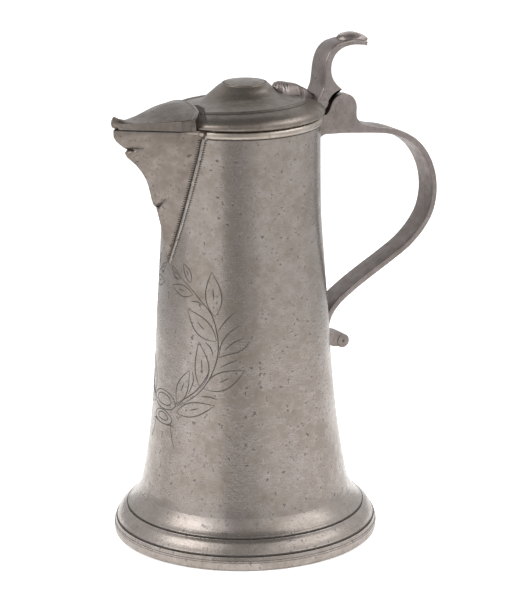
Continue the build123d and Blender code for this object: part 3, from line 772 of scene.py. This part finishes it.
inner_lid = [(43.6 - WALL, 228.8), (42.0, 230.6), (40.0, 232.6), (36.0, 234.4), (31.6, 235.5),
             (25.5, 236.7), (20.0, 238.4), (15.5, 241.2), (11.8, 244.0), (0, 244.0)]
dome_line = np.concatenate([
    [(0, 246.0)], flow(LID_OUT, 90), flow(inner_lid[:-1], 40), inner_lid[-1:],
])
dome = turned("lid_dome_turned", dome_line, "lid", ["lid_dome"], steps=320, crown=True)
button_line = np.concatenate([
    [(0, 246.95)], flow([(1.0, 246.95), (6.0, 246.7), (10.0, 246.1)], 12),
    [(10.6, 245.95), (10.8, 245.65), (11.1, 245.65), (11.3, 245.85)],
    flow([(11.4, 245.85), (12.0, 245.55), (12.1, 245.25), (12.0, 244.9)], 6), [(0, 244.9)],
])
button = turned("lid_button_turned", button_line, "lid", ["lid_button"], steps=200, crown=True)
# Painted shade: dark rings on both sides of the lid's raised ring and in the groove round the button
lid_groove_shade = joined("lid_groove_shade_lines", [
    ring_line(32.4, 237.35, 0.16), ring_line(35.5, 236.75, 0.18), ring_line(10.95, 245.72, 0.16),
], "lid")

# Spout cover: a hollow roof from the upturned tip to a rolled edge on the dome


def cover_half(x):
    """Half the cover's width at a distance from the axis toward the tip: straight from the tip
    to the cheek, then nearly level, flared where it meets the dome's edge."""
    return np.interp(x, [30.0, 37.0, 41.5, 46.6, COVER_TIP], [30.5, 28.2, 25.6, 23.7, 0.9])


# The cover's ridge and its eaves, as distance from the axis and height, how much lower the eaves
# lie on the far side, and the share of half the width that the roof takes
COVER_RIDGE = [
    (COVER_TIP, 234.4), (74.0, 235.6), (70.8, 234.4), (65.5, 233.1), (61.3, 233.4), (54.2, 235.4),
    (47.9, 237.5), (42.2, 238.8), (37.0, 239.1), (33.0, 238.9), (29.5, 238.4),
]
COVER_EAVES = [
    (COVER_TIP, 232.2), (71.0, 232.3), (62.0, 232.9), (50.0, 234.0), (40.0, 235.1), (29.5, 235.7),
]
COVER_FAR = [
    (COVER_TIP, 0.0), (71.0, 0.8), (65.0, 1.8), (56.0, 3.2), (46.0, 5.0), (38.0, 5.2), (29.5, 3.8),
]
ROOF = 0.8


def cover_skin(inset):
    """The cover from tip to back edge and from eave to eave: a roof that swells between the
    ridge and the eaves, and an upright wall below them. The last rows drop onto the dome."""
    along = np.concatenate([np.linspace(0, 1, COVER_ROWS), [1, 1, 1, 1]])[:, None]
    drop = np.concatenate([np.zeros(COVER_ROWS), [0.25, 0.5, 0.75, 1.0]])[:, None]
    side = np.linspace(-1, 1, 121)
    reach = np.abs(side)
    back = np.interp(reach, [0, 0.25, 0.5, 0.72, ROOF, 1.0], [30.6, 31.4, 34.0, 38.6, 40.4, 40.0])
    x = COVER_TIP - along * (COVER_TIP - back)
    ridge = np.interp(x, *flow(COVER_RIDGE, 200)[::-1].T)
    eaves = np.interp(x, *np.array(COVER_EAVES)[::-1].T)
    eaves = eaves - np.interp(x, *np.array(COVER_FAR)[::-1].T) * ease(0, 0.6, side)
    eaves = np.maximum(eaves, LID + 0.9)
    roof = np.clip(reach / ROOF, 0, 1)
    wall = np.clip((reach - ROOF) / (1 - ROOF), 0, 1)
    half = cover_half(x)
    y = half * roof * np.sign(side)
    z = eaves + (ridge - eaves) * (1 - roof**1.3)
    lip = np.exp(-(((along - 0.975) / 0.018) ** 2)) * (1 - drop)
    z = z + 0.5 * lip
    z = z + (LID + 0.4 - z) * wall
    x = x - 2.6 * wall * np.exp(-((along / 0.05) ** 2))
    y = y + 0.7 * lip * wall * np.sign(side)
    if inset:
        hollow = ease(46.0, 50.0, x)
        y = y * (1 - inset / np.maximum(half, 2.5) * ease(0.3, ROOF, reach))
        z = np.where(wall > 0, LID + (z - LID) * (1 - 0.3 * wall), z)
        z = np.maximum(z - inset * (1 - wall), LID)
        seated = np.minimum(lid_height(-x, y) - 0.4, z)
        flat = z * hollow + np.minimum(z, LID + 0.6) * (1 - hollow)
        z = np.where(np.hypot(x, y) < LID_R - 1, seated, flat)
    else:
        dome_z = np.where(np.hypot(x, y) < LID_R - 0.5, lid_height(-x, y) - 0.4, LID)
        z = z + (np.minimum(dome_z, z) - z) * drop
    grid = np.stack([-x, y, z + 0 * x], -1)
    return rounded_across(grid, 2)


cover = thick_sheet("beak_cover", cover_skin(0), cover_skin(1.8), "lid", ["spout_cover"])

# Wriggled strip: crossed cuts on the dome just behind the cover's edge


def dome_thread(x, y, half_width, half_height=0.09):
    """A thread on the lid's dome through places in plan."""
    r = np.hypot(x, y)
    path = np.stack([x, y, lid_height(x, y) + 0.02], -1)
    outer = lid_height(x + 0.3 * x / r, y + 0.3 * y / r)
    slope = (outer - lid_height(x - 0.3 * x / r, y - 0.3 * y / r)) / 0.6
    up = np.stack([-slope * x / r, -slope * y / r, 1 + 0 * r], -1)
    up /= np.linalg.norm(up, axis=1, keepdims=True)
    return thread(path, up, half_width, half_height)


# The cuts stop at this radius, where the dome turns down to its edge
DOME_END = 43.2
hatching = []
for start in np.linspace(-31, 31, 82):
    for slant in (-2.0, 2.0):
        y = np.linspace(start, start + slant, 9)
        edge = np.interp(np.abs(y), [0, 9, 19, 31], [30.4, 31.4, 35.8, 40.2])
        x = -(edge - np.linspace(0.1, 5.4, 9))
        on_dome = np.hypot(x, y) < DOME_END
        if on_dome.sum() > 2:
            hatching.append(dome_thread(x[on_dome], y[on_dome], 0.15 * pointed(9)[on_dome]))
hatch = joined("wriggled_strip", hatching, "lid")

# Hinge: the handle's block with its two ears, and the strap

block_low = flow([
    (41.0, 211.2), (43.4, 211.9), (46.0, 213.3), (52.0, 213.3), (59.8, 212.8), (68.0, 211.9),
    (75.3, 211.1), (81.0, 210.4),
], 40)
ear_back = flow([
    (81.0, 213.7), (76.0, 215.1), (71.0, 216.7), (68.0, 218.4), (66.7, 221.0), (66.55, 224.3),
], 24)
ear_round = arc(PIN, EAR_R, -8, 158, 40)
ear_front = flow([(50.75, 229.0), (49.7, 226.5), (47.7, 224.2)], 8)
block_front = [(47.7, 224.1), (46.0, 224.1), (41.0, 224.1)]
side_plate = np.concatenate([block_low, ear_back, ear_round, ear_front, block_front[1:]])
slot_floor = arc(PIN, EAR_R, -28, -166, 30)
middle_plate = np.concatenate([block_low, ear_back[:12], slot_floor, block_front])
strap_path = flow([
    (76.5, 212.6), (86.0, 211.1), (95.6, 207.8), (105.9, 200.9), (112.9, 190.9), (116.1, 180.0),
    (116.0, 170.0), (113.6, 161.8), (108.6, 154.4), (100.8, 147.0), (89.0, 139.8), (76.0, 132.8),
    (63.0, 125.2), (54.5, 119.0), (49.7, 112.8), (48.0, 107.4), (47.6, 103.6),
], 220)
strap = ribbon(strap_path, np.interp(np.arange(220), [0, 30, 60], [3.6, 3.3, STRAP_T]))
handle = joined("strap_handle", [
    slab_mesh(side_plate, -HINGE_HALF, -EAR_IN, 0.45),
    slab_mesh(side_plate, EAR_IN, HINGE_HALF, 0.45),
    slab_mesh(middle_plate, -EAR_IN - 0.5, EAR_IN + 0.5, 0.05),
    slab_mesh(strap, -STRAP_HALF, STRAP_HALF, 0.55),
], "jug", ["handle"])

# Rolled end of the handle: an arm that leaves the drum and a roll with its eye

arm = [
    (46.8, 104.2), (49.5, 103.9), (54.0, 102.6), (59.3, 101.0), ROLL_AT, (55.8, 94.5),
    (52.5, 94.9), (49.3, 96.6), (46.8, 98.8),
]
roll_turn = np.linspace(0, 2 * np.pi, 48, endpoint=False)
roll_round = np.stack([np.cos(roll_turn), np.sin(roll_turn)], -1)
roll, eye_line = (np.array(ROLL_AT) + radius * roll_round for radius in (ROLL_R, EYE_R))
scroll = joined("rolled_end", [
    slab_mesh(arm, 0.4 - ROLL_HALF, ROLL_HALF - 0.4, 0.6),
    slab_mesh(roll, -ROLL_HALF, ROLL_HALF, 0.7),
], "jug", ["handle_scroll"])
# The roll's eyes: dark discs of painted shade on both ends of the roll, standing for its hole
eyes = joined("roll_eyes", [
    slab_mesh(eye_line, -ROLL_HALF - 0.03, 0.5 - ROLL_HALF, 0.1),
    slab_mesh(eye_line, ROLL_HALF - 0.5, ROLL_HALF + 0.03, 0.1),
], "jug")

# Lid bracket: the saddle's two cheeks and the middle knuckle

cheek = np.concatenate([
    [(45.7, 224.9), (46.4, 226.0), (47.4, 227.6)],
    arc(PIN, SADDLE_R, 166, 97, 30),
    [(57.0, 237.5), (47.6, 237.4), (45.6, 236.3), (44.0, 234.4), (42.9, 232.4), (42.2, 230.6)],
    [(43.9, 230.2), (44.2, 228.4), (44.2, 225.2), (44.5, 224.8)],
])
knuckle = np.concatenate([
    arc(PIN, EAR_R - 0.4, 90, -190, 60), [(48.0, 225.2), (47.6, 231.0), (53.0, 236.5)],
])
bracket = joined("hinge_saddle", [
    slab_mesh(cheek, -HINGE_HALF, HINGE_HALF, 0.5),
    slab_mesh(knuckle, -TONGUE_HALF, TONGUE_HALF, 0.2),
], "lid", ["lid_bracket"])

# Thumbpiece: an S-shaped lever that wraps the saddle's cheeks, a little narrower at its tip

lever_line = np.concatenate([
    flow([
        (43.4, 231.2), (44.1, 234.0), (45.3, 236.4), (46.4, 239.0), (47.0, 243.6), (47.5, 248.6),
        (48.6, 253.4), (50.9, 257.8), (54.8, 260.9), (60.2, 262.2),
    ], 50),
    flow([(60.2, 262.2), (64.0, 262.6), (68.0, 262.7), (71.5, 262.0), (74.2, 260.4)], 24)[1:],
    flow([
        (73.6, 258.6), (69.5, 259.4), (63.9, 259.7), (58.6, 258.6), (54.9, 256.3), (52.4, 252.6),
        (51.5, 248.0), (52.2, 243.6), (54.4, 240.0), (57.6, 236.9),
    ], 60),
    arc(PIN, SADDLE_R + 0.06, 97, 157, 24),
])
lever_half = np.interp(lever_line[:, 1], [237, 246, 262], [HINGE_HALF + 0.06, 7.4, 7.0])
lever = joined("thumb_lever", [
    slab_mesh(lever_line, -lever_half, lever_half, 0.7),
], "lid", ["thumbpiece"])

# Thumb shell: flutes that fan out from the root of the shell to its scalloped end


def shell_skin(depth):
    """A fluted shell bent over the lever's tip: swept round the tip's own centre, as wide as a
    leaf, its flutes a row of half waves that fan out from the root."""
    along = np.linspace(0, 1, 60)[:, None]
    side = np.linspace(-1, 1, 97)
    flute = np.abs(np.cos(np.pi * FLUTES / 2 * side))
    end = 1 - 0.11 * flute - 0.12 * side**2
    angle = np.radians(SHELL_TURN[0] - (SHELL_TURN[0] - SHELL_TURN[1]) * along * end)
    half = 7.4 * np.sin(np.clip(along * 1.15 + 0.10, 0, 1) * np.pi / 2) ** 0.8
    body = np.sqrt(np.clip(1 - side**4, 0, 1))
    rise = 0.4 + 2.5 * body * ease(0, 0.25, along) * (1 - 0.35 * ease(0.75, 1, along))
    rise = rise - 0.9 * flute * ease(0.02, 0.2, along) * body
    radius = SHELL_R + np.where(depth, 0.0, rise)
    x, z = SHELL_AT[0] + radius * np.cos(angle), SHELL_AT[1] + radius * np.sin(angle)
    return np.stack([x, side * half, z], -1)


shell = thick_sheet(
    "thumb_shell_fluted", shell_skin(0), shell_skin(1), "lid", ["thumb_shell"], sharp=60
)

# Lid strap: a leaf on the dome, ribbed across its inner end, then a lobe and a narrow tie

LEAF_TOP = [
    (19.2, 240.9), (20.4, 242.6), (22.4, 243.5), (25.4, 243.4), (29.0, 242.5), (33.3, 241.4),
    (36.5, 239.7), (39.8, 237.8), (42.6, 235.8), (45.0, 234.4),
]
LEAF_HALF = [
    (19.2, 0.8), (20.2, 3.4), (22.5, 5.6), (26.0, 6.4), (29.5, 5.4), (33.0, 4.2), (37.0, 3.0),
    (41.0, 2.4), (45.0, 2.4),
]


def leaf_skin(under):
    """The leaf from its rounded inner end to the saddle, crowned across; ribs slant across its
    first third. The underside lies just inside the dome."""
    x = np.linspace(LEAF_TOP[0][0], LEAF_TOP[-1][0], 140)[:, None]
    side = np.linspace(-1, 1, 61)
    half = np.interp(x, *np.array(LEAF_HALF).T)
    y = side * half
    ground = lid_height(x, y) - 0.5
    crown = np.interp(x, *flow(LEAF_TOP, 200).T)
    body = np.clip(1 - np.abs(side) ** 2.6, 0, 1) ** 0.6
    z = ground + (crown - ground) * body
    slanted = x + 1.6 * np.abs(side)
    ribs = np.abs(np.sin(np.pi * (slanted - 19.6) / 1.9))
    ribs = ribs * ease(19.6, 20.6, x) * (1 - ease(26.6, 28.2, slanted))
    z = z - 0.9 * (1 - ribs) * body * ease(19.4, 20.4, x) * (1 - ease(26.8, 28.2, slanted))
    return np.stack([x + 0 * side, y, np.where(under, ground - 0.2, z)], -1)


leaf = thick_sheet("ribbed_leaf", leaf_skin(0), leaf_skin(1), "lid", ["lid_strap"], sharp=60)

# Finishes

drum_pewter = cast_pewter("cast_pewter_drum", "#9b9390", "#8c847e", "#746b61", (0.20, 0.34))
foot_pewter = cast_pewter("cast_pewter_foot", "#a49c98", "#958d87", "#7b726a", (0.20, 0.32), 0.7, 1.0)
lid_pewter = cast_pewter("cast_pewter_lid", "#857d78", "#746c65", "#5c534b", (0.30, 0.44), 0.6, 1.0)
spout_pewter = cast_pewter("cast_pewter_spout", "#867e79", "#756d67", "#5f574f", (0.26, 0.4), 1.0)
handle_pewter = cast_pewter("cast_pewter_handle", "#8f8786", "#7d7572", "#68605b", (0.34, 0.48), 0.7)
rim_pewter = cast_pewter("cast_pewter_rim", "#aca39c", "#9d948b", "#82786e", (0.26, 0.38), 0.5)
# Painted shade: the dark fill of the foot's and lid's grooves, the line under the rim band, the gap
# under the cover and the roll's eyes
painted_groove_shade = grime_and_shade("painted_groove_shade", "#3a332d")
# Old polish in the engraved lines, teeth and strip; the same dark also paints shade in the spout's
# creases
engraving_grime_and_crease_shade = grime_and_shade("engraving_grime_and_crease_shade", "#3d362f")

finish([drum, bead], drum_pewter)
finish([foot], foot_pewter)
finish([band, rim_tails], rim_pewter)
finish([dome, button], lid_pewter)
finish([beak, cover], spout_pewter)
finish([handle, scroll, bracket, lever, shell, leaf], handle_pewter)
finish([foot_groove_shade, band_shadow, lid_groove_shade, eyes, gap_shade], painted_groove_shade)
finish([teeth, engraving, hatch, creases], engraving_grime_and_crease_shade)
plain_parts = ("bottom_plate", "hinge_pin", "pin_plug_near", "pin_plug_far")
finish([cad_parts[name] for name in plain_parts], handle_pewter)

# Table and room: a pale sweep, white to the camera and to the metal


def background_ray(tree):
    """1 for rays that see the room as a background: from the camera, a reflection or through glass."""
    path = add_node(tree, "ShaderNodeLightPath")
    either = add_node(tree, "ShaderNodeMath", {"operation": "MAXIMUM"},
                      {0: path.outputs["Is Camera Ray"], 1: path.outputs["Is Glossy Ray"]})
    return add_node(tree, "ShaderNodeMath", {"operation": "MAXIMUM"},
                    {0: either.outputs[0], 1: path.outputs["Is Transmission Ray"]}).outputs[0]


table_mesh = bpy.data.meshes.new("table")
table_mesh.from_pydata([(-6, -6, 0), (6, -6, 0), (6, 6, 0), (-6, 6, 0)], [], [(0, 1, 2, 3)])
table = placed("table", table_mesh)
paper = bpy.data.materials.new("white_paper")
tree = emptied_tree(paper)
matte = add_node(tree, "ShaderNodeBsdfDiffuse", None, {"Color": srgb("#f4f3f2")})
glow = add_node(tree, "ShaderNodeEmission", None, {"Color": (1, 1, 1, 1), "Strength": 0.42})
sheet = add_node(tree, "ShaderNodeAddShader", None, {0: matte.outputs[0], 1: glow.outputs[0]})
add_node(tree, "ShaderNodeOutputMaterial", None, {"Surface": sheet.outputs[0]})
table.data.materials.append(paper)

# Studio cards, seen only in reflections: degrees from the camera's side, counted to its right,
# and greys. They stand in a ring; the ceiling, a full turn, lies flat over it. Lengths in metres
CARDS = [
    (-180, -80, 0.85), (-80, -24, 1.38), (-24, 4, 0.55), (4, 20, 0.76), (20, 100, 1.2),
    (100, 180, 0.95),
]
CEILING = (0, 360, 0.30)
RING_R = 0.42
RING_TOP = 0.7
for start, stop, level in [*CARDS, CEILING]:
    angle = np.radians(CAMERA_SIDE + np.linspace(start, stop, 12))
    low = np.stack([RING_R * np.cos(angle), RING_R * np.sin(angle), 0 * angle + 0.002], -1)
    high = low * [1, 1, 0] + [0, 0, RING_TOP]
    if stop - start == 360:
        low, high = low * [0, 0, 0] + [0, 0, RING_TOP + 0.005], high + [0, 0, 0.005]
    card_mesh = bpy.data.meshes.new("card")
    card_mesh.from_pydata(np.concatenate([low, high]).tolist(), [], quads(2, 12).tolist())
    card = placed("card", card_mesh)
    card.visible_camera = card.visible_diffuse = card.visible_shadow = False
    grey = bpy.data.materials.new("grey_card")
    tree = emptied_tree(grey)
    flat = add_node(tree, "ShaderNodeEmission", None, {"Color": (1, 1, 1, 1), "Strength": level})
    add_node(tree, "ShaderNodeOutputMaterial", None, {"Surface": flat.outputs[0]})
    card.data.materials.append(grey)
world = bpy.data.worlds.new("room")
bpy.context.scene.world = world
tree = emptied_tree(world)
seen = background_ray(tree)
plain = add_node(tree, "ShaderNodeBackground", None, {"Color": (1, 1, 1, 1), "Strength": 0.55})
white = add_node(tree, "ShaderNodeBackground", None, {"Color": (1, 1, 1, 1), "Strength": 1.0})
room = add_node(tree, "ShaderNodeMixShader", None, {0: seen, 1: plain.outputs[0], 2: white.outputs[0]})
add_node(tree, "ShaderNodeOutputWorld", None, {"Surface": room.outputs[0]})


def soft_light(name, place, size, power):
    """A square softbox that faces the middle of the flagon; places in metres."""
    lamp = bpy.data.lights.new(name, "AREA")
    lamp.shape = "RECTANGLE"
    lamp.size, lamp.size_y = size
    lamp.energy = power
    thing = placed(name, lamp)
    thing.location = place
    thing.rotation_euler = (Vector((0, 0, 0.13)) - Vector(place)).to_track_quat("-Z", "Y").to_euler()


def around(azimuth, distance, height):
    """A place round the flagon, in degrees from the camera's side, counted to its right."""
    angle = math.radians(CAMERA_SIDE + azimuth)
    return (distance * math.cos(angle), distance * math.sin(angle), height)


soft_light("left_softbox", around(-68, 0.95, 0.95), (0.4, 0.4), 9)
soft_light("right_softbox", around(80, 0.95, 0.95), (0.4, 0.4), 9)
soft_light("top_softbox", around(170, 0.5, 1.6), (1.2, 1.2), 8)

# Camera: a long lens from above the spout's side, leaning a little

camera = bpy.data.cameras.new("camera")
camera.lens = 175.5
camera.clip_start, camera.clip_end = 0.05, 50
eye = placed("camera", camera)
look = Vector((0.4662, 0.8410, -0.2744)).normalized()
eye.rotation_mode = "QUATERNION"
eye.rotation_quaternion = (
    Matrix.Rotation(math.radians(0.62), 3, look) @ look.to_track_quat("-Z", "Y").to_matrix()
).to_quaternion()
eye.location = (-0.7186, -1.3167, 0.5553)
bpy.context.scene.camera = eye

bpy.context.scene.view_settings.view_transform = "Standard"
